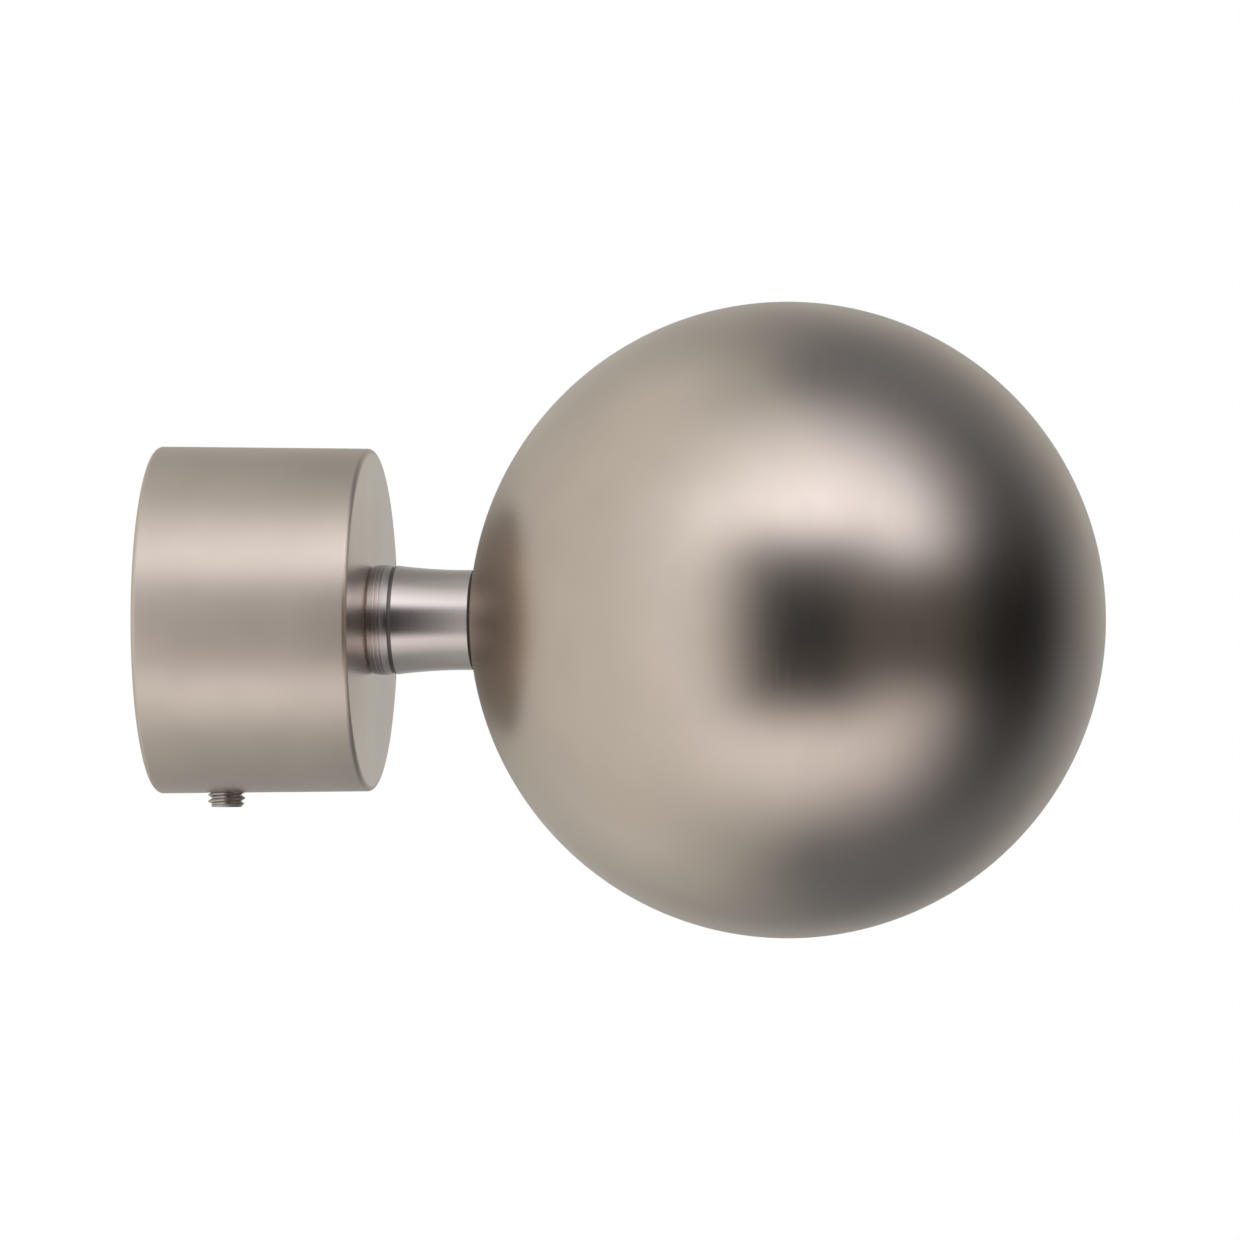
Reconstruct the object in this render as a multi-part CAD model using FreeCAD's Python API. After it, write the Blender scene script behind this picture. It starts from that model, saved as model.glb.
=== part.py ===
import FreeCAD, Part
import math
import os

from FreeCAD import Vector

# Ball finial for a 28 mm curtain pole, in millimetres.
# It lies along X: the pole comes in from -X, the middle of the socket's mouth is the origin and the ball
# is the +X end. +Z is up, and the grub screw that grips the pole stands out of the underside, along -Z.

# Pole and socket
POLE_DIAMETER = 28.0
SOCKET_CLEARANCE = 0.275        # gap all round the pole
SOCKET_DEPTH = 17.0
SOCKET_LEAD_IN = 0.4            # chamfer that guides the pole in

# Cap
CAP_WALL = 2.15                 # at the mouth
CAP_DRAFT = 0.22                # loss of radius from the mouth to the closed face
CAP_MOUTH_ROUND = 0.5
CAP_FACE_ROUND = 0.45
FLOOR_WEB = 0.95                # metal left between the countersink and the closed face

# Neck
NECK_LENGTH = 10.0
NECK_DIAMETER = 9.45            # at the ball
NECK_FOOT_CHAMFER = 0.3         # edge break where it meets the ball
FLARE_LAND = 1.0                # straight stretch at the ball, before the flare starts
FLARE_RISE = 0.42               # growth of radius from the ball to the flare's lip
GROOVE_WIDTH = 0.4              # upright on the bead's side, sloping up to the lip
GROOVE_DEPTH = 0.16             # below the lip
BEAD_WIDTH = 2.1
BEAD_BREAK = 0.2                # edge break against the cap's face
BEAD_PROUD = 0.05               # crest of the bead above the lip
BEAD_CROWN = 0.1                # swell of the bead from its edges to its crest

# Ball
BALL_DIAMETER = 60.0
BALL_WALL = 1.2
SEAT_MARGIN = 0.15              # flat on the ball left round the neck's foot

# Threaded insert in the ball
INSERT_LAND = 0.7               # ring of the ball's own wall under the neck's foot
INSERT_FIT = 0.03               # brazing gap
INSERT_RUN_OUT = 1.5            # insert past the end of the screw

# Countersunk assembly screw
SCREW_DIAMETER = 5.0
SCREW_CLEARANCE = 0.15          # round the shank in cap and neck
SCREW_ENGAGEMENT = 7.0          # thread in the insert
SCREW_TIP_CHAMFER = 0.6
THREAD_FIT = 0.04               # between the plain shank and the insert's plain hole
HEAD_DIAMETER = 9.3
HEAD_LAND = 0.25                # straight rim of the head
HEAD_SINK = 0.1                 # head below the socket's floor
HEAD_FIT = 0.1                  # round the head's rim
RECESS_SPAN = 4.8               # cross recess, tip to tip
RECESS_WING = 1.1               # thickness of a wing
RECESS_FOOT = 1.6               # span at the bottom
RECESS_DEPTH = 2.3

# Grub screw in the cap's wall
GRUB_DIAMETER = 3.5
GRUB_LENGTH = 3.0
GRUB_FIT = 0.05
GRUB_FROM_MOUTH = 6.5
GRUB_PROUD = 1.35               # standing out of the cap, backed off for the pole
GRUB_HEX = 1.5                  # across flats
GRUB_HEX_DEPTH = 1.4
GRUB_CHAMFER = 0.4
GRUB_CUP_DIAMETER = 1.5
GRUB_CUP_DEPTH = 0.4
GRUB_POINT_CHAMFER = 0.5
GRUB_HOLE_BREAK = 0.15          # edge break of the tapped hole

# Radii
socket_r = POLE_DIAMETER / 2 + SOCKET_CLEARANCE
cap_mouth_r = socket_r + CAP_WALL
cap_face_r = cap_mouth_r - CAP_DRAFT
neck_r = NECK_DIAMETER / 2
lip_r = neck_r + FLARE_RISE
groove_r = lip_r - GROOVE_DEPTH
bead_crest_r = lip_r + BEAD_PROUD
bead_edge_r = bead_crest_r - BEAD_CROWN
ball_r = BALL_DIAMETER / 2
ball_inner_r = ball_r - BALL_WALL
seat_r = neck_r + SEAT_MARGIN
insert_r = neck_r - INSERT_LAND
screw_r = SCREW_DIAMETER / 2
screw_hole_r = screw_r + SCREW_CLEARANCE
head_r = HEAD_DIAMETER / 2
grub_r = GRUB_DIAMETER / 2

# Stations along X, from the socket's mouth to the ball
rim_x = SOCKET_DEPTH + HEAD_SINK + HEAD_LAND          # where the head's rim ends and its cone starts
shank_x = rim_x + head_r - screw_r                    # where the 90 degree cone meets the shank
face_x = shank_x + FLOOR_WEB                          # closed face of the cap
groove_x = face_x + BEAD_WIDTH
lip_x = groove_x + GROOVE_WIDTH
seat_x = face_x + NECK_LENGTH                         # flat on the ball
flare_x = seat_x - FLARE_LAND                         # where the flare starts
ball_x = seat_x + math.sqrt(ball_r ** 2 - seat_r ** 2)
screw_tip_x = seat_x + SCREW_ENGAGEMENT
insert_end_x = screw_tip_x + INSERT_RUN_OUT

# Stations of the grub screw, as distances from the X axis
grub_base = cap_mouth_r - CAP_DRAFT * GRUB_FROM_MOUTH / face_x
grub_top = grub_base + GRUB_PROUD
grub_tip = grub_top - GRUB_LENGTH


class Outline:
    """Half section of a turned piece, drawn in X (along the axis) and Y (radius)."""

    def __init__(self, x, y):
        self.start = Vector(x, y, 0)
        self.here = self.start
        self.edges = []

    def line(self, x, y):
        """Draw a straight line to a point."""
        end = Vector(x, y, 0)
        self.edges.append(Part.LineSegment(self.here, end).toShape())
        self.here = end
        return self

    def arc(self, through, x, y):
        """Draw an arc to a point, by way of another one."""
        end = Vector(x, y, 0)
        self.edges.append(Part.Arc(self.here, Vector(*through, 0), end).toShape())
        self.here = end
        return self

    def turned(self):
        """Close the outline and turn it once about X."""
        self.line(self.start.x, self.start.y)
        face = Part.Face(Part.Wire(self.edges))
        return face.revolve(Vector(0, 0, 0), Vector(1, 0, 0), 360)


def along_grub_screw(shape):
    """Take a shape turned about X to the grub screw's axis: X becomes the distance from the pole's axis."""
    placed = shape.copy()
    placed.rotate(Vector(0, 0, 0), Vector(0, 1, 0), 90)
    placed.translate(Vector(GRUB_FROM_MOUTH, 0, 0))
    return placed


def quarter_arc_point(centre_x, centre_y, radius, degrees):
    """Point of a corner round, at an angle from +X."""
    angle = math.radians(degrees)
    return (centre_x + radius * math.cos(angle), centre_y + radius * math.sin(angle))


def flare_point(x):
    """Point of the neck's flare: an arc that starts parallel to the axis and rises to the lip."""
    run = flare_x - lip_x
    radius = (run ** 2 + FLARE_RISE ** 2) / (2 * FLARE_RISE)
    back = flare_x - x
    return (x, neck_r + radius - math.sqrt(radius ** 2 - back ** 2))


def make_cap():
    """Cup with a bored socket, a countersunk floor, rounded rims and one tapped hole in its wall."""
    mouth_y = cap_mouth_r - CAP_MOUTH_ROUND
    face_y = cap_face_r - CAP_FACE_ROUND
    round_x = face_x - CAP_FACE_ROUND
    cup = (
        Outline(SOCKET_LEAD_IN, socket_r)
        .line(0, socket_r + SOCKET_LEAD_IN)
        .line(0, mouth_y)
        .arc(quarter_arc_point(CAP_MOUTH_ROUND, mouth_y, CAP_MOUTH_ROUND, 135), CAP_MOUTH_ROUND, cap_mouth_r)
        .line(round_x, cap_face_r)
        .arc(quarter_arc_point(round_x, face_y, CAP_FACE_ROUND, 45), face_x, face_y)
        .line(face_x, screw_hole_r)
        .line(shank_x - SCREW_CLEARANCE, screw_hole_r)
        .line(rim_x, head_r)
        .line(rim_x, head_r + HEAD_FIT)
        .line(SOCKET_DEPTH, head_r + HEAD_FIT)
        .line(SOCKET_DEPTH, socket_r)
        .turned()
    )
    hole_r = grub_r + GRUB_FIT
    hole_top = cap_mouth_r + GRUB_HOLE_BREAK
    hole = (
        Outline(0, 0)
        .line(0, hole_r)
        .line(grub_base - GRUB_HOLE_BREAK, hole_r)
        .line(hole_top, hole_r + hole_top - grub_base + GRUB_HOLE_BREAK)
        .line(hole_top, 0)
        .turned()
    )
    return cup.cut(along_grub_screw(hole))


def make_neck():
    """Turned stem: bead against the cap, groove, flared waist and a flat foot on the ball."""
    bead_x = face_x + BEAD_BREAK
    bead_middle = ((bead_x + groove_x) / 2, bead_crest_r)
    return (
        Outline(face_x, screw_hole_r)
        .line(face_x, bead_edge_r - BEAD_BREAK)
        .line(bead_x, bead_edge_r)
        .arc(bead_middle, groove_x, bead_edge_r)
        .line(groove_x, groove_r)
        .line(lip_x, lip_r)
        .arc(flare_point((lip_x + flare_x) / 2), flare_x, neck_r)
        .line(seat_x - NECK_FOOT_CHAMFER, neck_r)
        .line(seat_x, neck_r - NECK_FOOT_CHAMFER)
        .line(seat_x, screw_hole_r)
        .turned()
    )


def make_ball():
    """Hollow ball with a flat seat for the neck and a hole for the insert."""
    hole_r = insert_r + INSERT_FIT
    inner_x = ball_x - math.sqrt(ball_inner_r ** 2 - hole_r ** 2)
    return (
        Outline(seat_x, hole_r)
        .line(seat_x, seat_r)
        .arc((ball_x, ball_r), ball_x + ball_r, 0)
        .line(ball_x + ball_inner_r, 0)
        .arc((ball_x, ball_inner_r), inner_x, hole_r)
        .turned()
    )


def make_ball_insert():
    """Plain bush, tapped for the assembly screw, its outer end flush with the ball's seat."""
    hole_r = screw_r + THREAD_FIT
    return (
        Outline(seat_x, hole_r)
        .line(seat_x, insert_r)
        .line(insert_end_x, insert_r)
        .line(insert_end_x, hole_r)
        .turned()
    )


def recess_wing():
    """One wing of the cross recess: a slot that narrows towards its bottom."""
    top_x = SOCKET_DEPTH + HEAD_SINK
    corners = [
        Vector(top_x, -RECESS_SPAN / 2, -RECESS_WING / 2),
        Vector(top_x, RECESS_SPAN / 2, -RECESS_WING / 2),
        Vector(top_x + RECESS_DEPTH, RECESS_FOOT / 2, -RECESS_WING / 2),
        Vector(top_x + RECESS_DEPTH, -RECESS_FOOT / 2, -RECESS_WING / 2),
    ]
    outline = Part.makePolygon(corners + corners[:1])
    return Part.Face(outline).extrude(Vector(0, 0, RECESS_WING))


def make_assembly_screw():
    """Countersunk screw with a cross recess, from the socket's floor into the ball."""
    top_x = SOCKET_DEPTH + HEAD_SINK
    screw = (
        Outline(top_x, 0)
        .line(top_x, head_r)
        .line(rim_x, head_r)
        .line(shank_x, screw_r)
        .line(screw_tip_x - SCREW_TIP_CHAMFER, screw_r)
        .line(screw_tip_x, screw_r - SCREW_TIP_CHAMFER)
        .line(screw_tip_x, 0)
        .turned()
    )
    level_wing = recess_wing()
    upright_wing = level_wing.copy()
    upright_wing.rotate(Vector(0, 0, 0), Vector(1, 0, 0), 90)
    return screw.cut(level_wing.fuse(upright_wing))


def make_grub_screw():
    """Socket set screw with a cup point, backed off so that its point is clear of the socket."""
    cup_r = GRUB_CUP_DIAMETER / 2
    point_r = grub_r - GRUB_POINT_CHAMFER
    blank = (
        Outline(grub_tip + GRUB_CUP_DEPTH, 0)
        .line(grub_tip, cup_r)
        .line(grub_tip, point_r)
        .line(grub_tip + GRUB_POINT_CHAMFER, grub_r)
        .line(grub_top - GRUB_CHAMFER, grub_r)
        .line(grub_top, grub_r - GRUB_CHAMFER)
        .line(grub_top, 0)
        .turned()
    )
    corner_r = GRUB_HEX / math.sqrt(3)
    corners = []
    for number in range(6):
        angle = math.radians(60 * number)
        corners.append(Vector(grub_top, corner_r * math.cos(angle), corner_r * math.sin(angle)))
    hexagon = Part.Face(Part.makePolygon(corners + corners[:1]))
    socket = hexagon.extrude(Vector(-GRUB_HEX_DEPTH, 0, 0))
    return along_grub_screw(blank.cut(socket))


NODES = {
    "cap": make_cap,
    "neck": make_neck,
    "ball": make_ball,
    "ball_insert": make_ball_insert,
    "assembly_screw": make_assembly_screw,
    "grub_screw": make_grub_screw,
}

os.makedirs("parts", exist_ok=True)
for node, make in NODES.items():
    shape = make()
    solids = shape.Solids
    if len(solids) != 1 or not shape.isValid():
        raise RuntimeError(f"{node}: {len(solids)} solids, valid {shape.isValid()}")
    solids[0].exportStep(f"parts/{node}.step")
    print(f"{node}: {solids[0].Volume:.1f} mm3")
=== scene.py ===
"""Dresses the ball finial of a curtain pole and lights it as a small product in a light tent.

The finial lies along X: its socket's mouth is at the origin, its ball is the +X end, and the grub screw
stands out of the underside. Lengths are in metres.
"""

import logging
import math
from collections.abc import Callable
from dataclasses import dataclass, field
from enum import Enum

import bmesh
import bpy
from mathutils import Matrix, Vector


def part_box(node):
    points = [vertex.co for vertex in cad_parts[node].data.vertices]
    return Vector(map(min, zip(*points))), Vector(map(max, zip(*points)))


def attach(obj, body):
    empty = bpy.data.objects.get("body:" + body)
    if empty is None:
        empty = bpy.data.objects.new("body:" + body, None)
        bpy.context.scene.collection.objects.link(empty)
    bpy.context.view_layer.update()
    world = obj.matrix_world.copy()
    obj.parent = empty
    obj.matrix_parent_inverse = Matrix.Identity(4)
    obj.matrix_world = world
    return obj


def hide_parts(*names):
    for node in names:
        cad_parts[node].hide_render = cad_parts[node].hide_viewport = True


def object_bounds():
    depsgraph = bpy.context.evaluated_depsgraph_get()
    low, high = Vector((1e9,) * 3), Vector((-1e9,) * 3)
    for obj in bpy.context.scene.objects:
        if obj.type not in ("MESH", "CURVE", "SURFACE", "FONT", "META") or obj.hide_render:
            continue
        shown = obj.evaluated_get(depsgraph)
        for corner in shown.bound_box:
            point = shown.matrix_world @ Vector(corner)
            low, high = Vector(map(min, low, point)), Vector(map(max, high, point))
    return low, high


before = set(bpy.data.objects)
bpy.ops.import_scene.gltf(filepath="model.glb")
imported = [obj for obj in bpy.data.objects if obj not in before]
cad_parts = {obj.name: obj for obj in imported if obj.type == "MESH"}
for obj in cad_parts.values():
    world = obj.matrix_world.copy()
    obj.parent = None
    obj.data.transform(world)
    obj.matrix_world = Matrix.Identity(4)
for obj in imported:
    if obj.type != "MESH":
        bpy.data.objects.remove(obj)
CAD_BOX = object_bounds()

MM = 0.001
MICRON = 0.001 * MM
MERGE = 1e-7                        # points closer than this are one point
FLAT = 0.002 * MM                   # faces closer than this to a plane are in it
CREASE = math.radians(25)           # edges that turn by more than this stay crisp
FINE_TURN = 240                     # steps round the ball, neck and cap
SCREW_TURN = 64                     # steps round a screw
HALF_CIRCLE = 180.0                 # degrees
ACROSS_MARKS = 0.25                 # share of a turn from along the tool marks to across them
MIX_SHARE, MIX_FIRST, MIX_SECOND = 0, 6, 7      # sockets of a Mix node that take colours, by number
MIX_RESULT = 2                      # socket of a Mix node that gives the mixed colour

Signal = bpy.types.NodeSocket       # what one shader node hands to the next
Colour = tuple[float, float, float]
Number = float | Signal
Paint = Colour | Signal
Inputs = dict[str | int, object]    # socket's name or number to a value or a signal

log = logging.getLogger("finial")


class Body(Enum):
    """Rigid bodies of the finial that a piece can ride on."""

    FINIAL = "finial"
    GRUB_SCREW = "grub_screw"


class Slot(Enum):
    """Finishes that the record names for the new pieces."""

    CAP = "satin_cap"
    NECK = "turned_neck"
    BALL = "satin_ball"
    SCREW = "zinc_screw"
    GRUB = "grub_steel"


class Boolean(Enum):
    """Ways to combine a closed shape with another."""

    CUT = "DIFFERENCE"
    JOIN = "UNION"


class Graph:
    """Node tree of a material or world, with short calls that add and join nodes."""

    def __init__(self, tree: bpy.types.NodeTree) -> None:
        """Take over a node tree and empty it."""
        self.tree = tree
        tree.nodes.clear()

    def node(self, kind: str, inputs: Inputs | None = None, **settings: object) -> bpy.types.Node:
        """Add a node.

        Args:
            kind: Blender's name of the node type.
            inputs: socket name or number to a value, or to a signal to join.
            settings: attributes of the node.

        Returns:
            The new node.
        """
        made = self.tree.nodes.new(kind)
        for key, value in settings.items():
            setattr(made, key, value)
        for key, value in (inputs or {}).items():
            if isinstance(value, Signal):
                self.tree.links.new(value, made.inputs[key])
            else:
                made.inputs[key].default_value = value
        return made

    def math(self, operation: str, *values: Number) -> Signal:
        """Add a math node on numbers or signals and return its result."""
        return self.node("ShaderNodeMath", dict(enumerate(values)), operation=operation).outputs[0]

    def remap(
        self, value: Signal, low: float, high: float, to_low: float, to_high: float, smooth: bool = False,
    ) -> Signal:
        """Map a number's range onto another.

        Args:
            value: number to read.
            low: value that becomes to_low.
            high: value that becomes to_high.
            to_low: result at low.
            to_high: result at high.
            smooth: whether the change eases in and out.

        Returns:
            The result.
        """
        kind = "SMOOTHSTEP" if smooth else "LINEAR"
        inputs = {"Value": value, "From Min": low, "From Max": high, "To Min": to_low, "To Max": to_high}
        return self.node("ShaderNodeMapRange", inputs, interpolation_type=kind).outputs["Result"]

    def mix(self, share: Signal, colour: Paint, other: Paint) -> Signal:
        """Mix two colours.

        Args:
            share: how much of the second one shows, from 0 to 1.
            colour: first colour.
            other: second colour.

        Returns:
            The mixed colour.
        """
        first, second = (c if isinstance(c, Signal) else (*c, 1.0) for c in (colour, other))
        inputs = {MIX_SHARE: share, MIX_FIRST: first, MIX_SECOND: second}
        return self.node("ShaderNodeMix", inputs, data_type="RGBA").outputs[MIX_RESULT]

    def output(self, shader: Signal, kind: str = "ShaderNodeOutputMaterial") -> None:
        """Join a shader to the tree's output."""
        self.node(kind, {"Surface": shader})


@dataclass(frozen=True)
class PlatedMetal:
    """Nickel or zinc plate over a turned, brushed or blasted surface.

    The marks of the tool run round an axis, so they are read from the distance along it, the distance
    from it and, much more slowly, the angle about it. A finish can also start rough and darker at one
    place along the axis and recover from there; the darker colour is painted shade where another part meets
    it.
    """

    name: str
    colour: Colour
    roughness: float
    roughness_spread: float = 0.03
    tone_spread: float = 0.04           # how far patches of the plate darken
    patch_size: float = 9 * MM
    mark_size: float = 0.12 * MM        # width of one tool mark
    mark_length: float = 0.35           # length of a tool mark, as an angle
    mark_depth: float = 0.4 * MICRON
    grain_size: float = 0.08 * MM
    grain_depth: float = 0.15 * MICRON
    brushing: float = 0.0               # how far the marks stretch a reflection across themselves
    dull_x: float = 0.0                 # place along X where the finish starts rough and with painted shade
    dull_reach: float = 0.0             # distance along X in which it recovers, 0 where it has neither
    dull_rise: float = 0.17             # roughness added at the start
    dull_loss: float = 0.32             # share of the colour taken off at the start, as painted shade
    tone_noise: tuple[float, float] = (0.35, 0.65)      # part of a noise's range that changes the tone
    rough_noise: tuple[float, float] = (0.3, 0.7)       # part of a noise's range that changes the roughness

    def build(self) -> bpy.types.Material:
        """Make the finish's material.

        Returns:
            The new material.
        """
        material = bpy.data.materials.new(self.name)
        material.use_nodes = True
        graph = Graph(material.node_tree)
        place = graph.node("ShaderNodeTexCoord").outputs["Object"]
        patches = self._noise(graph, place, self.patch_size, detail=3.0)
        marks = self._noise(graph, self._round_axis(graph, place), 1.0, detail=2.0)
        grain = self._noise(graph, place, self.grain_size, detail=1.0)
        dark = graph.remap(patches, *self.tone_noise, 0.0, 1.0, smooth=True)
        tone = graph.mix(dark, self.colour, self._darker(self.tone_spread))
        half = self.roughness_spread / 2
        rough = graph.math(
            "ADD",
            graph.remap(patches, *self.rough_noise, self.roughness - half, self.roughness + half),
            graph.remap(marks, *self.rough_noise, -half, half),
        )
        if self.dull_reach > 0:
            along = graph.node("ShaderNodeSeparateXYZ", {"Vector": place}).outputs["X"]
            dull = graph.remap(along, self.dull_x, self.dull_x + self.dull_reach, 1.0, 0.0, smooth=True)
            rough = graph.math("ADD", rough, graph.math("MULTIPLY", dull, self.dull_rise))
            # painted shade: the colour darkens towards the start, where another part meets this one
            tone = graph.mix(dull, tone, self._darker(self.dull_loss))
        normal = self._relief(graph, marks, grain)
        shader = graph.node(
            "ShaderNodeBsdfPrincipled",
            {
                "Base Color": tone,
                "Metallic": 1.0,
                "Roughness": rough,
                "Normal": normal,
                "Anisotropic": self.brushing,
                "Anisotropic Rotation": ACROSS_MARKS,
                "Tangent": self._along_marks(graph, place),
            },
        )
        graph.output(shader.outputs["BSDF"])
        return material

    def _darker(self, loss: float) -> Colour:
        """Return the plate's colour less a share of it."""
        return tuple(c * (1 - loss) for c in self.colour)

    def _noise(self, graph: Graph, place: Signal, size: float, detail: float) -> Signal:
        """Add a noise of about the given size and return its factor."""
        inputs = {"Vector": place, "Scale": 1 / size, "Detail": detail, "Roughness": 0.5}
        return graph.node("ShaderNodeTexNoise", inputs).outputs["Fac"]

    def _relief(self, graph: Graph, marks: Signal, grain: Signal) -> Signal:
        """Press the tool marks and the grain into the surface.

        Args:
            graph: the material's nodes.
            marks: height of the tool marks, from 0 to 1.
            grain: height of the grain, from 0 to 1.

        Returns:
            The surface's normal.
        """
        marked = {"Height": marks, "Strength": 1.0, "Distance": self.mark_depth}
        normal = graph.node("ShaderNodeBump", marked).outputs["Normal"]
        grained = {"Height": grain, "Strength": 1.0, "Distance": self.grain_depth, "Normal": normal}
        return graph.node("ShaderNodeBump", grained).outputs["Normal"]

    def _along_marks(self, graph: Graph, place: Signal) -> Signal:
        """Work out the direction in which the tool marks run, round the axis.

        Args:
            graph: the material's nodes.
            place: place on the piece.

        Returns:
            The direction.
        """
        parts = graph.node("ShaderNodeSeparateXYZ", {"Vector": place}).outputs
        back = graph.math("MULTIPLY", parts["Z"], -1.0)
        around = graph.node("ShaderNodeCombineXYZ", {"X": 0.0, "Y": back, "Z": parts["Y"]})
        turned = graph.node(
            "ShaderNodeVectorTransform", {"Vector": around.outputs["Vector"]},
            convert_from="OBJECT", convert_to="WORLD",
        )
        return turned.outputs[0]

    def _round_axis(self, graph: Graph, place: Signal) -> Signal:
        """Turn a place into (along, out, around), scaled so that one tool mark is one unit.

        Args:
            graph: the material's nodes.
            place: place on the piece.

        Returns:
            The scaled place.
        """
        parts = graph.node("ShaderNodeSeparateXYZ", {"Vector": place}).outputs
        y, z = parts["Y"], parts["Z"]
        squares = graph.math("ADD", graph.math("MULTIPLY", y, y), graph.math("MULTIPLY", z, z))
        out = graph.math("SQRT", squares)
        turn = graph.math("ARCTAN2", z, y)
        scaled = {
            "X": graph.math("DIVIDE", parts["X"], self.mark_size),
            "Y": graph.math("DIVIDE", out, self.mark_size),
            "Z": graph.math("DIVIDE", turn, self.mark_length),
        }
        return graph.node("ShaderNodeCombineXYZ", scaled).outputs["Vector"]


# the ball starts rough and darker at its seat and recovers within 8 mm; the darker colour is painted shade
# between ball and neck
BALL_PLATE = PlatedMetal(
    "satin_nickel_ball", (0.68, 0.585, 0.505), 0.3, mark_depth=0.0,
    dull_x=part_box("ball")[0][0], dull_reach=8 * MM,
)
CAP_PLATE = PlatedMetal("satin_nickel_cap", (0.74, 0.64, 0.565), 0.43, brushing=0.6)
FACE_PLATE = PlatedMetal("turned_nickel_face", (0.81, 0.725, 0.665), 0.3)
SOCKET_PLATE = PlatedMetal(
    "bored_socket", (0.5, 0.45, 0.41), 0.5, mark_size=0.3 * MM, mark_depth=0.006 * MM,
)
NECK_PLATE = PlatedMetal("turned_nickel_neck", (0.67, 0.6, 0.56), 0.2, mark_depth=0.002 * MM)
# the bead's colour, darker than the stem's, is painted shade of its fine turned lines; its roughness is its
# own
BEAD_PLATE = PlatedMetal("turned_nickel_bead", (0.56, 0.5, 0.47), 0.29, mark_depth=0.002 * MM)
# dark colour for the neck's groove and foot chamfer: painted shade in those corners
CORNER_PAINTED_SHADE = PlatedMetal("dull_corners", (0.36, 0.35, 0.345), 0.42)
INSERT_STEEL = PlatedMetal("turned_steel_insert", (0.45, 0.44, 0.42), 0.35)
SCREW_ZINC = PlatedMetal("zinc_assembly_screw", (0.58, 0.59, 0.6), 0.3)
GRUB_STEEL = PlatedMetal("dull_nickel_grub_screw", (0.57, 0.52, 0.49), 0.34)


class Section:
    """Half section of a turned piece: a chain of edges in X (along the axis) and Z (radius)."""

    def __init__(self, x: float, radius: float) -> None:
        """Start the chain at a point."""
        self.bm = bmesh.new()
        self.first = self.bm.verts.new((x, 0.0, radius))
        self.last = self.first

    def line(self, x: float, radius: float, cuts: int = 0) -> None:
        """Draw a straight edge to a point.

        Args:
            x: place along the axis.
            radius: distance from the axis.
            cuts: points to add along the edge.
        """
        start, end = self.last.co.copy(), Vector((x, 0.0, radius))
        for step in range(cuts + 1):
            self.last = bmesh.ops.extrude_vert_indiv(self.bm, verts=[self.last])["verts"][0]
            self.last.co = start.lerp(end, (step + 1) / (cuts + 1))

    def arc(self, centre_x: float, centre_radius: float, angle: float, steps: int) -> None:
        """Swing the chain's end about a centre.

        Args:
            centre_x: place of the centre along the axis.
            centre_radius: distance of the centre from the axis.
            angle: swing in radians, from -X over the outside to +X.
            steps: edges in the arc.
        """
        swung = bmesh.ops.spin(
            self.bm, geom=[self.last], cent=(centre_x, 0.0, centre_radius), axis=(0.0, 1.0, 0.0),
            angle=angle, steps=steps, use_merge=False, use_duplicate=False,
        )
        self.last = next(part for part in swung["geom_last"] if isinstance(part, bmesh.types.BMVert))

    def turned(self, steps: int) -> bmesh.types.BMesh:
        """Close the chain and turn it once about X.

        Args:
            steps: steps round the axis.

        Returns:
            The closed skin.
        """
        self.bm.edges.new((self.last, self.first))
        bmesh.ops.spin(
            self.bm, geom=self.bm.verts[:] + self.bm.edges[:], cent=(0.0, 0.0, 0.0), axis=(1.0, 0.0, 0.0),
            angle=2 * math.pi, steps=steps, use_merge=True, use_duplicate=False,
        )
        return tidy(self.bm)


def tidy(bm: bmesh.types.BMesh) -> bmesh.types.BMesh:
    """Merge points that coincide, drop faces without area and point every face outwards.

    Args:
        bm: the shape, which is changed.

    Returns:
        The same shape.
    """
    bmesh.ops.remove_doubles(bm, verts=bm.verts, dist=MERGE)
    bmesh.ops.dissolve_degenerate(bm, edges=bm.edges, dist=MERGE)
    bmesh.ops.recalc_face_normals(bm, faces=bm.faces)
    return bm


def as_object(bm: bmesh.types.BMesh, name: str) -> bpy.types.Object:
    """Turn a bmesh into an object at the origin.

    Args:
        bm: the shape, which is freed.
        name: name of the object.

    Returns:
        The new object, linked to the scene.
    """
    mesh = bpy.data.meshes.new(name)
    bm.to_mesh(mesh)
    bm.free()
    made = bpy.data.objects.new(name, mesh)
    bpy.context.scene.collection.objects.link(made)
    return made


def shade(piece: bpy.types.Object) -> None:
    """Shade a piece smooth, with crisp edges where its faces turn sharply.

    Args:
        piece: object to shade.
    """
    bm = bmesh.new()
    bm.from_mesh(piece.data)
    for face in bm.faces:
        face.smooth = True
    for edge in bm.edges:
        edge.smooth = edge.calc_face_angle(0.0) < CREASE
    bm.to_mesh(piece.data)
    bm.free()


def combine(piece: bpy.types.Object, other: bpy.types.Object, way: Boolean) -> None:
    """Cut another shape out of a piece, or join it on, and delete the other.

    Args:
        piece: object that keeps the result.
        other: object that is used up.
        way: whether the other is cut out or joined on.
    """
    step = piece.modifiers.new("combine", "BOOLEAN")
    step.operation = way.value
    step.solver = "EXACT"
    step.object = other
    graph = bpy.context.evaluated_depsgraph_get()
    result = bpy.data.meshes.new_from_object(piece.evaluated_get(graph))
    piece.modifiers.clear()
    worn = piece.data
    piece.data = result
    result.name = piece.name
    bpy.data.meshes.remove(worn)
    used = other.data
    bpy.data.objects.remove(other)
    bpy.data.meshes.remove(used)


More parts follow.
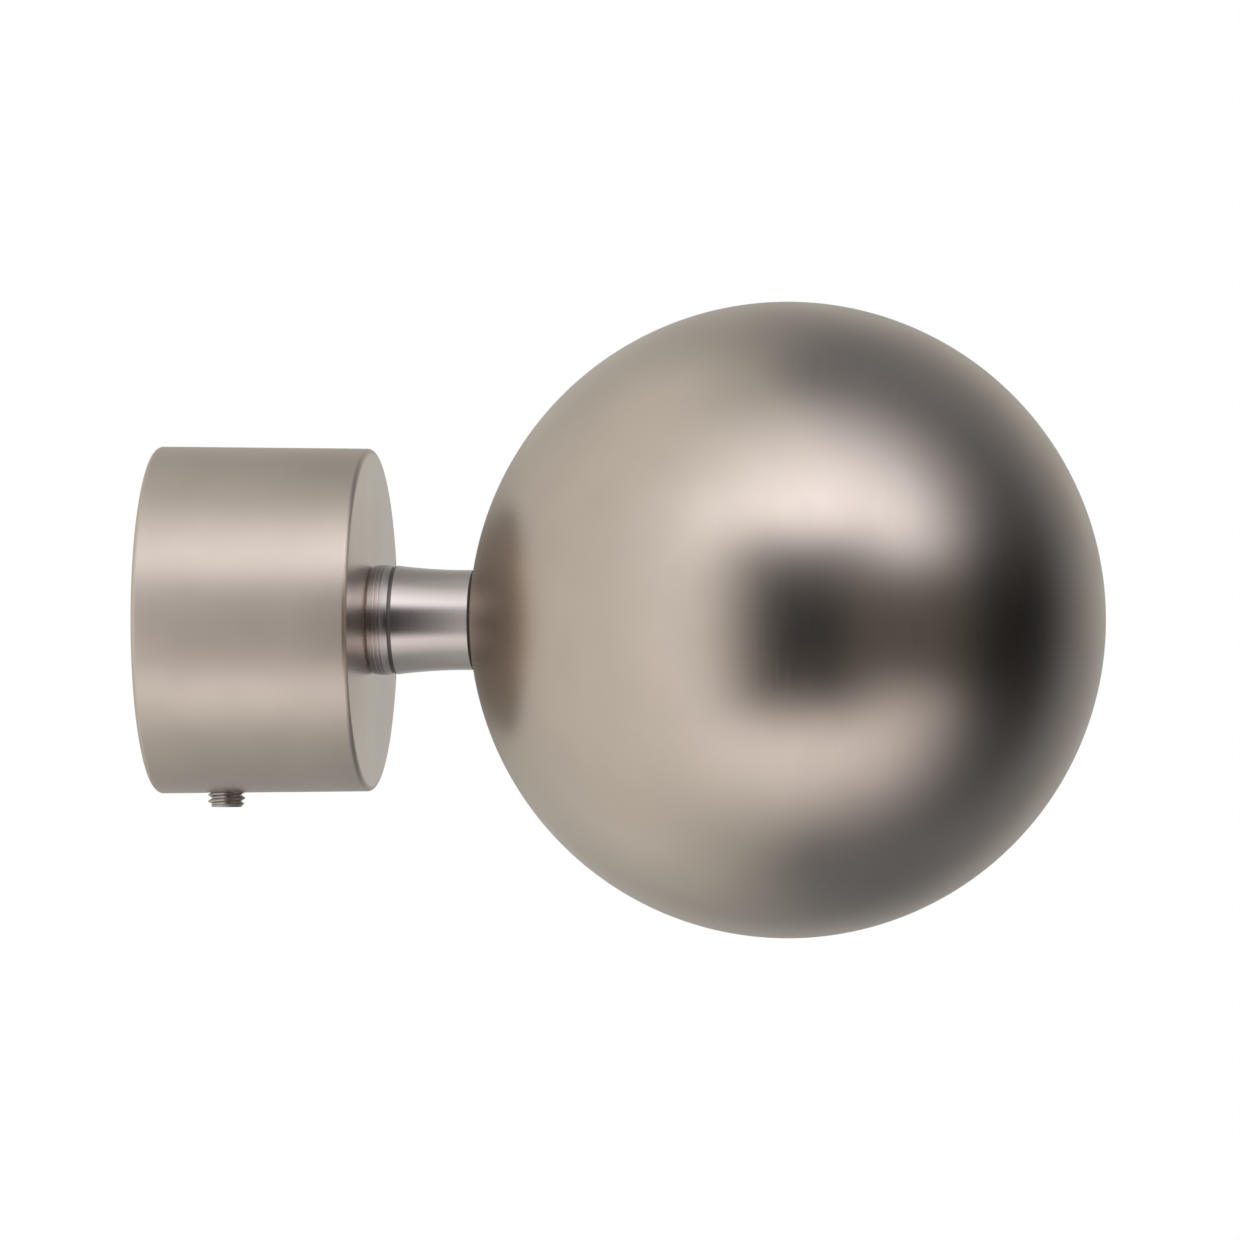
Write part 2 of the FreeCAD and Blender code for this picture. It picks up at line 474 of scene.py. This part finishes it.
def point_down(bm: bmesh.types.BMesh, at: float) -> None:
    """Turn a shape that lies along X to point down, and move it to the grub screw's place.

    Args:
        bm: the shape, which is changed.
        at: the grub screw's place along X.
    """
    quarter = Matrix.Rotation(math.pi / 2, 3, "Y")
    bmesh.ops.rotate(bm, verts=bm.verts, cent=(0.0, 0.0, 0.0), matrix=quarter)
    bmesh.ops.translate(bm, verts=bm.verts, vec=(at, 0.0, 0.0))


@dataclass
class Piece:
    """One visible piece of the finial, which stands for a node of the frame."""

    node: str
    body: Body
    slot: Slot
    finish: PlatedMetal
    low: Vector = field(init=False)
    high: Vector = field(init=False)

    def __post_init__(self) -> None:
        """Read the node's corners from the frame."""
        low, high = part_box(self.node)
        self.low = Vector(low)
        self.high = Vector(high)

    def model(self) -> bpy.types.Object:
        """Model the piece's mesh and return its object."""
        raise NotImplementedError

    def dress(self, piece: bpy.types.Object) -> None:
        """Give the whole piece its finish.

        Args:
            piece: object of the piece.
        """
        piece.data.materials.clear()
        piece.data.materials.append(self.finish.build())
        for face in piece.data.polygons:
            face.material_index = 0

    def refinish(
        self, piece: bpy.types.Object, finish: PlatedMetal, holds: Callable[[Vector], bool],
    ) -> None:
        """Give some faces of the piece another finish.

        Args:
            piece: object of the piece.
            finish: the other finish.
            holds: tells from a face's centre whether the finish is on it.
        """
        piece.data.materials.append(finish.build())
        for face in piece.data.polygons:
            if holds(face.center):
                face.material_index = len(piece.data.materials) - 1

    def build(self) -> None:
        """Model, dress and place the piece."""
        piece = self.model()
        shade(piece)
        self.dress(piece)
        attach(piece, self.body.value)
        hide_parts(self.node)
        log.info("%s: %d faces", piece.name, len(piece.data.polygons))


@dataclass
class Ball(Piece):
    """Hollow ball with a flat seat for the neck and a hole for the insert."""

    wall: float = 1.2 * MM
    seat_radius: float = 4.875 * MM
    hole_radius: float = 4.055 * MM
    outer_steps: int = 120
    inner_steps: int = 40

    @property
    def radius(self) -> float:
        """Outer radius."""
        return (self.high.z - self.low.z) / 2

    @property
    def centre(self) -> float:
        """Place of the ball's centre along X."""
        return self.low.x + math.sqrt(self.radius ** 2 - self.seat_radius ** 2)

    def model(self) -> bpy.types.Object:
        """Turn the ball's wall.

        Returns:
            The ball's object.
        """
        inner = self.radius - self.wall
        section = Section(self.low.x, self.hole_radius)
        section.line(self.low.x, self.seat_radius)
        section.arc(self.centre, 0.0, math.pi - math.asin(self.seat_radius / self.radius), self.outer_steps)
        section.line(self.centre + inner, 0.0)
        section.arc(self.centre, 0.0, math.asin(self.hole_radius / inner) - math.pi, self.inner_steps)
        return as_object(section.turned(FINE_TURN), "satin_ball")


@dataclass
class Neck(Piece):
    """Turned stem: bead against the cap, groove, flared waist and a flat foot on the ball."""

    foot_radius: float = 4.725 * MM
    foot_chamfer: float = 0.3 * MM
    flare_land: float = 1.0 * MM
    flare_rise: float = 0.42 * MM
    groove_width: float = 0.4 * MM
    groove_depth: float = 0.16 * MM
    bead_width: float = 2.1 * MM
    bead_break: float = 0.2 * MM        # edge break against the cap's face
    bead_proud: float = 0.05 * MM
    bead_crown: float = 0.1 * MM
    hole_radius: float = 2.65 * MM
    line_width: float = 0.1 * MM        # fine turned lines on the bead
    line_depth: float = 0.02 * MM
    line_places: tuple[float, ...] = (0.85 * MM, 1.27 * MM)
    flare_steps: int = 24
    bead_steps: int = 6                 # edges in each stretch between the turned lines

    @property
    def groove_x(self) -> float:
        """Place along X where the bead ends and the groove starts."""
        return self.low.x + self.bead_width

    @property
    def lip_x(self) -> float:
        """Place along X where the groove ends and the flare starts."""
        return self.groove_x + self.groove_width

    @property
    def foot_x(self) -> float:
        """Place along X where the foot's chamfer starts."""
        return self.high.x - self.foot_chamfer

    def model(self) -> bpy.types.Object:
        """Turn the neck.

        Returns:
            The neck's object.
        """
        lip = self.foot_radius + self.flare_rise
        flare_x = self.high.x - self.flare_land
        run = flare_x - self.lip_x
        flare = (run ** 2 + self.flare_rise ** 2) / (2 * self.flare_rise)
        section = Section(self.low.x, self.hole_radius)
        self.bead(section, lip + self.bead_proud)
        section.line(self.groove_x, lip - self.groove_depth)
        section.line(self.lip_x, lip)
        section.arc(flare_x, self.foot_radius + flare, -math.asin(run / flare), self.flare_steps)
        section.line(self.foot_x, self.foot_radius)
        section.line(self.high.x, self.foot_radius - self.foot_chamfer)
        section.line(self.high.x, self.hole_radius)
        return as_object(section.turned(FINE_TURN), "turned_neck")

    def bead(self, section: Section, crest: float) -> None:
        """Draw the bead's crowned band, with its fine turned lines.

        Args:
            section: the neck's section, whose end lies on the cap's face.
            crest: radius at the bead's middle.
        """
        start = self.low.x + self.bead_break
        half = (self.bead_width - self.bead_break) / 2
        swing = (half ** 2 + self.bead_crown ** 2) / (2 * self.bead_crown)
        middle, centre = start + half, crest - swing
        section.line(self.low.x, crest - self.bead_crown - self.bead_break)
        section.line(start, crest - self.bead_crown)
        turn = -math.asin(half / swing)
        notch = self.line_width / 2 / swing
        deep = swing - self.line_depth
        for place in self.line_places:
            at = math.asin((self.low.x + place - middle) / swing)
            section.arc(middle, centre, at - notch - turn, self.bead_steps)
            section.line(middle + deep * math.sin(at), centre + deep * math.cos(at))
            section.line(middle + swing * math.sin(at + notch), centre + swing * math.cos(at + notch))
            turn = at + notch
        section.arc(middle, centre, math.asin(half / swing) - turn, self.bead_steps)

    def dress(self, piece: bpy.types.Object) -> None:
        """Give the stem its bright finish, the bead a rougher one whose darker colour is painted shade of
        its fine turned lines, and the groove and the foot's chamfer a dark colour that is painted shade.

        Args:
            piece: object of the neck.
        """
        super().dress(piece)
        # the bead's darker colour is painted shade of its fine turned lines
        self.refinish(piece, BEAD_PLATE, self._on_bead)
        # painted shade: the groove and the foot's chamfer get the dark colour
        self.refinish(piece, CORNER_PAINTED_SHADE, self._in_corner)

    def _on_bead(self, centre: Vector) -> bool:
        """Tell from a face's centre whether it is part of the bead."""
        return centre.x < self.groove_x

    def _in_corner(self, centre: Vector) -> bool:
        """Tell from a face's centre whether it is part of the groove or of the foot's chamfer."""
        return self.groove_x < centre.x < self.lip_x or centre.x > self.foot_x


@dataclass
class Cap(Piece):
    """Cup that slips over the pole: bored socket, countersunk floor, rounded rims and a tapped hole."""

    socket_radius: float = 14.275 * MM
    socket_depth: float = 17.0 * MM
    lead_in: float = 0.4 * MM
    draft: float = 0.22 * MM
    mouth_round: float = 0.5 * MM
    face_round: float = 0.45 * MM
    screw_hole_radius: float = 2.65 * MM
    sink_radius: float = 4.65 * MM
    sink_rim: float = 0.35 * MM
    sink_gap: float = 0.1 * MM
    tapped_radius: float = 1.8 * MM
    tapped_break: float = 0.15 * MM
    round_steps: int = 8
    wall_cuts: int = 3

    @property
    def mouth_radius(self) -> float:
        """Outer radius at the mouth."""
        return (self.high.y - self.low.y) / 2

    def model(self) -> bpy.types.Object:
        """Turn the cup and drill its wall.

        Returns:
            The cup's object.
        """
        mouth, face = self.mouth_round, self.face_round
        face_x = self.high.x
        face_radius = self.mouth_radius - self.draft
        rim_x = self.socket_depth + self.sink_rim
        section = Section(self.lead_in, self.socket_radius)
        section.line(0.0, self.socket_radius + self.lead_in)
        section.line(0.0, self.mouth_radius - mouth)
        section.arc(mouth, self.mouth_radius - mouth, math.pi / 2, self.round_steps)
        section.line(face_x - face, face_radius, self.wall_cuts)
        section.arc(face_x - face, face_radius - face, math.pi / 2, self.round_steps)
        section.line(face_x, self.screw_hole_radius)
        section.line(rim_x + self.sink_radius - self.screw_hole_radius, self.screw_hole_radius)
        section.line(rim_x, self.sink_radius)
        section.line(rim_x, self.sink_radius + self.sink_gap)
        section.line(self.socket_depth, self.sink_radius + self.sink_gap)
        section.line(self.socket_depth, self.socket_radius)
        cup = as_object(section.turned(FINE_TURN), "satin_cap")
        combine(cup, self.drill(), Boolean.CUT)
        return cup

    def drill(self) -> bpy.types.Object:
        """Model the shape that cuts the tapped hole, with its broken edge.

        Returns:
            The shape's object.
        """
        low, high = (Vector(corner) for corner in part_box("grub_screw"))
        at = (low.x + high.x) / 2
        inside = self.socket_radius / 2
        base = self.mouth_radius - self.draft * at / self.high.x
        top = self.mouth_radius + self.tapped_break
        flared = self.tapped_radius + top - base + self.tapped_break
        section = Section(inside, 0.0)
        section.line(inside, self.tapped_radius)
        section.line(base - self.tapped_break, self.tapped_radius)
        section.line(top, flared)
        section.line(top, 0.0)
        bm = section.turned(SCREW_TURN)
        point_down(bm, at)
        return as_object(bm, "drill")

    def dress(self, piece: bpy.types.Object) -> None:
        """Give the outside its satin finish, the flat face a finer one and the socket a plain bored one.

        Args:
            piece: object of the cup.
        """
        super().dress(piece)
        self.refinish(piece, FACE_PLATE, self._on_face)
        self.refinish(piece, SOCKET_PLATE, self._in_socket)

    def _on_face(self, centre: Vector) -> bool:
        """Tell from a face's centre whether it is part of the flat one on the ball's side."""
        return centre.x > self.high.x - FLAT

    def _in_socket(self, centre: Vector) -> bool:
        """Tell from a face's centre whether it is inside the socket or the holes in its floor."""
        inside = math.hypot(*centre.yz) < self.socket_radius + self.lead_in
        return inside and not self._on_face(centre)


@dataclass(frozen=True)
class Thread:
    """Outside thread along X, with its ends cut square and its crests chamfered."""

    radius: float
    pitch: float
    start: float
    end: float
    start_chamfer: float = 0.0
    end_chamfer: float = 0.0
    depth_share: float = 0.54           # depth of the thread over its pitch
    flat_share: float = 0.2             # width of a crest over its pitch
    spare_turns: int = 2                # turns swept beyond the ends, to be cut off
    profile_cuts: int = 2               # points added to each edge of the profile

    def build(self) -> bmesh.types.BMesh:
        """Sweep the thread's profile along its helix.

        Returns:
            A closed shape.
        """
        bm = bmesh.new()
        root = self.radius - self.depth_share * self.pitch
        turns = math.ceil((self.end - self.start) / self.pitch) + self.spare_turns
        flat = self.flat_share * self.pitch
        corners = [
            (flat, root),
            (self.pitch / 2, self.radius),
            (self.pitch / 2 + flat, self.radius),
            (self.pitch, root),
        ]
        chain = bm.verts.new((self.start - self.spare_turns * self.pitch, 0.0, root))
        left = chain.co.x
        for along, radius in corners:
            chain = bmesh.ops.extrude_vert_indiv(bm, verts=[chain])["verts"][0]
            chain.co = (left + along, 0.0, radius)
        bmesh.ops.subdivide_edges(bm, edges=bm.edges[:], cuts=self.profile_cuts)
        bmesh.ops.spin(
            bm, geom=bm.verts[:] + bm.edges[:], cent=(0.0, 0.0, 0.0), axis=(1.0, 0.0, 0.0),
            dvec=(self.pitch / SCREW_TURN, 0.0, 0.0), angle=2 * math.pi * turns, steps=SCREW_TURN * turns,
            use_merge=False, use_duplicate=False,
        )
        bmesh.ops.remove_doubles(bm, verts=bm.verts, dist=MERGE)
        self._cut(bm, self.start, -1.0)
        self._cut(bm, self.end, 1.0)
        self._chamfer(bm)
        return tidy(bm)

    def _cut(self, bm: bmesh.types.BMesh, at: float, side: float) -> None:
        """Cut the thread square, drop what lies beyond and close the end.

        Args:
            bm: the thread, which is changed.
            at: place of the cut along X.
            side: -1 to drop what lies before the cut, 1 for what lies after it.
        """
        cut = bmesh.ops.bisect_plane(
            bm, geom=bm.verts[:] + bm.edges[:] + bm.faces[:], dist=MERGE, plane_co=(at, 0.0, 0.0),
            plane_no=(side, 0.0, 0.0), clear_outer=True,
        )
        edges = [part for part in cut["geom_cut"] if isinstance(part, bmesh.types.BMEdge)]
        bmesh.ops.contextual_create(bm, geom=edges)

    def _chamfer(self, bm: bmesh.types.BMesh) -> None:
        """Draw the crests in towards both ends, as a chamfer of 45 degrees does.

        Args:
            bm: the thread, which is changed.
        """
        for vert in bm.verts:
            out = math.hypot(vert.co.y, vert.co.z)
            room = min(
                self.radius,
                self.radius - self.start_chamfer + vert.co.x - self.start,
                self.radius - self.end_chamfer + self.end - vert.co.x,
            )
            if out > room:
                vert.co.y *= room / out
                vert.co.z *= room / out


@dataclass
class GrubScrew(Piece):
    """Socket set screw that grips the pole: thread, hexagon socket and cup point."""

    pitch: float = 0.6 * MM
    chamfer: float = 0.4 * MM
    point_chamfer: float = 0.5 * MM
    hexagon: float = 1.5 * MM           # across flats
    hexagon_depth: float = 1.4 * MM
    cup_radius: float = 0.75 * MM
    cup_depth: float = 0.4 * MM

    def model(self) -> bpy.types.Object:
        """Model the threaded screw and cut its hexagon socket and its cup point.

        Returns:
            The screw's object.
        """
        radius = (self.high.y - self.low.y) / 2
        tip, top = -self.high.z, -self.low.z
        at = (self.low.x + self.high.x) / 2
        bm = Thread(radius, self.pitch, tip, top, self.point_chamfer, self.chamfer).build()
        point_down(bm, at)
        screw = as_object(bm, "grub_screw_threaded")
        corner = self.hexagon / math.sqrt(3)
        slack = self.chamfer
        socket = bmesh.new()
        bmesh.ops.create_cone(
            socket, cap_ends=True, segments=6, radius1=corner, radius2=corner,
            depth=self.hexagon_depth + slack,
        )
        middle = -top + (self.hexagon_depth - slack) / 2
        bmesh.ops.translate(socket, verts=socket.verts, vec=(at, 0.0, middle))
        combine(screw, as_object(socket, "hexagon_socket"), Boolean.CUT)
        cup = bmesh.new()
        bmesh.ops.create_cone(
            cup, cap_ends=True, segments=SCREW_TURN, radius1=0.0, radius2=2 * self.cup_radius,
            depth=2 * self.cup_depth,
        )
        bmesh.ops.translate(cup, verts=cup.verts, vec=(at, 0.0, -tip))
        combine(screw, as_object(tidy(cup), "cup_point"), Boolean.CUT)
        return screw


@dataclass
class AssemblyScrew(Piece):
    """Countersunk screw with a cross recess that holds cap, neck and ball together."""

    radius: float = 2.5 * MM
    pitch: float = 0.8 * MM
    rim: float = 0.25 * MM
    tip_chamfer: float = 0.6 * MM
    recess_span: float = 4.8 * MM
    recess_wing: float = 1.1 * MM
    recess_foot: float = 1.6 * MM
    recess_depth: float = 2.3 * MM

    def model(self) -> bpy.types.Object:
        """Model the head, the threaded shank and the recess.

        Returns:
            The screw's object.
        """
        head = (self.high.y - self.low.y) / 2
        top, tip = self.low.x, self.high.x
        cone_end = top + self.rim + head - self.radius
        neck = self.radius - Thread.depth_share * self.pitch
        section = Section(top, 0.0)
        section.line(top, head)
        section.line(top + self.rim, head)
        section.line(cone_end, self.radius)
        section.line(cone_end + self.pitch, neck)
        section.line(cone_end + self.pitch, 0.0)
        screw = as_object(section.turned(2 * SCREW_TURN), "assembly_screw_threaded")
        thread = Thread(self.radius, self.pitch, cone_end, tip, 0.0, self.tip_chamfer).build()
        combine(screw, as_object(thread, "shank"), Boolean.JOIN)
        for turn in (0.0, math.pi / 2):
            combine(screw, self.wing(top, turn), Boolean.CUT)
        return screw

    def wing(self, top: float, turn: float) -> bpy.types.Object:
        """Model one wing of the recess, a slot that narrows towards its bottom.

        Args:
            top: place of the head's top along X.
            turn: angle about X.

        Returns:
            The wing's object.
        """
        bm = bmesh.new()
        bmesh.ops.create_cube(bm, size=1.0)
        slack = self.rim
        for vert in bm.verts:
            deep = vert.co.x > 0
            span = self.recess_foot if deep else self.recess_span
            vert.co.x = top + self.recess_depth if deep else top - slack
            vert.co.y *= span
            vert.co.z *= self.recess_wing
        bmesh.ops.rotate(bm, verts=bm.verts, cent=(0.0, 0.0, 0.0), matrix=Matrix.Rotation(turn, 3, "X"))
        return as_object(bm, "recess_wing")


@dataclass(frozen=True)
class BallInsert:
    """Tapped bush inside the ball, which keeps its solid and gets its finish."""

    node: str = "ball_insert"

    def dress(self) -> None:
        """Give the solid its material."""
        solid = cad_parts[self.node]
        solid.data.materials.clear()
        solid.data.materials.append(INSERT_STEEL.build())
        log.info("%s: finish only", self.node)


@dataclass(frozen=True)
class Panel:
    """One lit or dark part of the light tent, as the ball sees it.

    Angles are in degrees: azimuth from the front (-Y) towards the ball's end (+X), height above the
    horizon.
    """

    name: str
    azimuth: float
    half_width: float
    soft_across: float
    height: float
    half_height: float
    soft_up: float
    level: Colour


@dataclass(frozen=True)
class LightTent:
    """Cloth tent round the finial, lit from outside, with its camera opening and its open end left dark."""

    radius: float = 0.4
    steps_round: int = 64
    steps_up: int = 32
    rest_level: Colour = (0.165, 0.175, 0.19)
    panels: tuple[Panel, ...] = (
        Panel("left_wall", -65.5, 86.0, 49.0, 2.5, 82.0, 29.5, (0.69, 0.7, 0.67)),
        Panel("back_wall", -156.0, 58.0, 27.0, 5.0, 32.0, 27.0, (0.56, 0.56, 0.53)),
        Panel("overhead_glow", 24.5, 45.5, 49.0, 36.0, 19.5, 40.0, (2.06, 2.09, 2.26)),
        Panel("lower_glow", 18.5, 45.0, 48.0, -26.5, 33.5, 25.0, (1.2, 1.17, 1.2)),
        Panel("camera_opening", 13.5, 27.5, 17.0, -2.5, 31.5, 10.5, (0.0, 0.0, 0.0)),
        Panel("side_gap", 61.0, 31.5, 2.0, -2.5, 20.5, 7.5, (0.094, 0.088, 0.08)),
        Panel("open_end", 96.5, 22.5, 14.5, -0.5, 41.0, 40.5, (0.001, 0.001, 0.001)),
    )

    def build(self, centre: Vector) -> None:
        """Model the tent.

        Args:
            centre: middle of the tent.
        """
        bm = bmesh.new()
        bmesh.ops.create_uvsphere(
            bm, u_segments=self.steps_round, v_segments=self.steps_up, radius=self.radius,
        )
        bmesh.ops.translate(bm, verts=bm.verts, vec=centre)
        bmesh.ops.reverse_faces(bm, faces=bm.faces)
        tent = as_object(bm, "light_tent")
        tent.data.materials.append(self._cloth(centre))
        tent.visible_camera = False
        log.info("light tent: %s", ", ".join(panel.name for panel in self.panels))

    def _cloth(self, centre: Vector) -> bpy.types.Material:
        """Make the glowing cloth, panel by panel.

        Args:
            centre: middle of the tent.

        Returns:
            The cloth's material.
        """
        material = bpy.data.materials.new("tent_cloth")
        material.use_nodes = True
        graph = Graph(material.node_tree)
        place = graph.node("ShaderNodeTexCoord").outputs["Object"]
        away = graph.node("ShaderNodeVectorMath", {0: place, 1: centre}, operation="SUBTRACT")
        unit = graph.node("ShaderNodeVectorMath", {0: away.outputs["Vector"]}, operation="NORMALIZE")
        parts = graph.node("ShaderNodeSeparateXYZ", {"Vector": unit.outputs["Vector"]}).outputs
        height = graph.math("DEGREES", graph.math("ARCSINE", parts["Z"]))
        front = graph.math("MULTIPLY", parts["Y"], -1.0)
        azimuth = graph.math("DEGREES", graph.math("ARCTAN2", parts["X"], front))
        colour = self.rest_level
        for panel in self.panels:
            colour = graph.mix(self._share(graph, panel, azimuth, height), colour, panel.level)
        glow = graph.node("ShaderNodeEmission", {"Color": colour, "Strength": 1.0})
        graph.output(glow.outputs["Emission"])
        return material

    def _share(self, graph: Graph, panel: Panel, azimuth: Signal, height: Signal) -> Signal:
        """Work out how much of a panel shows at a place of the tent.

        Args:
            graph: the cloth's nodes.
            panel: the panel.
            azimuth: the place's azimuth in degrees.
            height: the place's height in degrees.

        Returns:
            The share, from 0 to 1.
        """
        beside = graph.math("SUBTRACT", azimuth, panel.azimuth)
        aside = graph.math("ABSOLUTE", graph.math("WRAP", beside, HALF_CIRCLE, -HALF_CIRCLE))
        above = graph.math("ABSOLUTE", graph.math("SUBTRACT", height, panel.height))
        wide, side_fade = panel.half_width, panel.soft_across
        tall, end_fade = panel.half_height, panel.soft_up
        across = graph.remap(aside, wide + side_fade, wide - side_fade, 0.0, 1.0, smooth=True)
        upright = graph.remap(above, tall + end_fade, tall - end_fade, 0.0, 1.0, smooth=True)
        return graph.math("MULTIPLY", across, upright)


def seen_directly(graph: Graph) -> Signal:
    """Tell what the camera sees, also by way of metal and glass, from what only gets light.

    Args:
        graph: nodes of a material or world.

    Returns:
        A signal that is 1 where the camera looks and 0 elsewhere.
    """
    path = graph.node("ShaderNodeLightPath").outputs
    mirrored = graph.math("MAXIMUM", path["Is Glossy Ray"], path["Is Transmission Ray"])
    return graph.math("MAXIMUM", path["Is Camera Ray"], mirrored)


@dataclass(frozen=True)
class Floor:
    """Round pale floor, well below the finial, that fades into the white backdrop."""

    drop: float = 0.12                  # below the pole's axis
    radius: float = 0.21
    plain_radius: float = 0.09          # where the fade starts
    steps_round: int = 128
    colour: Colour = (0.8, 0.8, 0.79)
    lift: float = 0.5                   # pale glow that the eye sees on it

    def build(self, centre: Vector) -> None:
        """Model the floor.

        Args:
            centre: place above the floor's middle.
        """
        bm = bmesh.new()
        bmesh.ops.create_circle(bm, cap_ends=True, segments=self.steps_round, radius=self.radius)
        bmesh.ops.translate(bm, verts=bm.verts, vec=(centre.x, centre.y, -self.drop))
        floor = as_object(bm, "pale_floor")
        floor.data.materials.append(self._paper(centre))
        floor.visible_glossy = False
        log.info("floor: %.2f m across", 2 * self.radius)

    def _paper(self, centre: Vector) -> bpy.types.Material:
        """Make the floor's paper, which is clear from below.

        Args:
            centre: place above the floor's middle.

        Returns:
            The paper's material.
        """
        material = bpy.data.materials.new("floor_paper")
        material.use_nodes = True
        graph = Graph(material.node_tree)
        place = graph.node("ShaderNodeTexCoord").outputs["Object"]
        middle = (centre.x, centre.y, -self.drop)
        away = graph.node("ShaderNodeVectorMath", {0: place, 1: middle}, operation="DISTANCE")
        fade = graph.remap(away.outputs["Value"], self.plain_radius, self.radius, 0.0, 1.0, smooth=True)
        seen = seen_directly(graph)
        paper = graph.node("ShaderNodeBsdfDiffuse", {"Color": (*self.colour, 1.0)}).outputs["BSDF"]
        lift = graph.node("ShaderNodeEmission", {"Strength": graph.math("MULTIPLY", seen, self.lift)})
        pale = graph.node("ShaderNodeAddShader", {0: paper, 1: lift.outputs["Emission"]}).outputs["Shader"]
        white = graph.node("ShaderNodeEmission", {"Strength": seen}).outputs["Emission"]
        top = graph.node("ShaderNodeMixShader", {0: fade, 1: pale, 2: white}).outputs["Shader"]
        under = graph.node("ShaderNodeNewGeometry").outputs["Backfacing"]
        clear = graph.node("ShaderNodeBsdfTransparent").outputs["BSDF"]
        graph.output(graph.node("ShaderNodeMixShader", {0: under, 1: top, 2: clear}).outputs["Shader"])
        return material


@dataclass(frozen=True)
class Backdrop:
    """Plain white surround."""

    fill: float = 0.5                   # light that it gives to what isn't shiny

    def build(self) -> None:
        """Set up the world."""
        world = bpy.data.worlds.new("white_backdrop")
        world.use_nodes = True
        bpy.context.scene.world = world
        graph = Graph(world.node_tree)
        strength = graph.remap(seen_directly(graph), 0.0, 1.0, self.fill, 1.0)
        white = graph.node("ShaderNodeBackground", {"Color": (1.0, 1.0, 1.0, 1.0), "Strength": strength})
        graph.output(white.outputs["Background"], "ShaderNodeOutputWorld")


@dataclass(frozen=True)
class PhotoCamera:
    """Camera at the photograph's angle, level with the pole and a little towards the ball's end."""

    azimuth: float = 8.0                # degrees
    distance: float = 1.5
    width: float = 36 * MM              # of the sensor
    view_width: float = 117 * MM        # of the frame, at the finial
    aim_x: float = 44.1 * MM            # place on the pole's axis in the middle of the frame

    def build(self) -> None:
        """Set up the camera and make it the scene's own."""
        target = Vector((self.aim_x, 0.0, 0.0))
        turn = math.radians(self.azimuth)
        data = bpy.data.cameras.new("photo_camera")
        data.sensor_width = self.width / MM
        data.lens = data.sensor_width * self.distance / self.view_width
        camera = bpy.data.objects.new("photo_camera", data)
        camera.location = target + self.distance * Vector((math.sin(turn), -math.cos(turn), 0.0))
        camera.rotation_euler = (target - camera.location).to_track_quat("-Z", "Y").to_euler()
        bpy.context.scene.collection.objects.link(camera)
        bpy.context.scene.camera = camera


def main() -> None:
    """Build the finial piece by piece, then its studio."""
    logging.basicConfig(level=logging.INFO, format="%(name)s %(message)s")
    ball = Ball("ball", Body.FINIAL, Slot.BALL, BALL_PLATE)
    ball.build()
    Neck("neck", Body.FINIAL, Slot.NECK, NECK_PLATE).build()
    Cap("cap", Body.FINIAL, Slot.CAP, CAP_PLATE).build()
    AssemblyScrew("assembly_screw", Body.FINIAL, Slot.SCREW, SCREW_ZINC).build()
    GrubScrew("grub_screw", Body.GRUB_SCREW, Slot.GRUB, GRUB_STEEL).build()
    BallInsert().dress()
    LightTent().build(Vector((ball.centre, 0.0, 0.0)))
    Floor().build(Vector(CAD_BOX[0]).lerp(Vector(CAD_BOX[1]), 0.5))
    Backdrop().build()
    PhotoCamera().build()
    bpy.context.scene.view_settings.view_transform = "Standard"


if __name__ == "__main__":
    main()
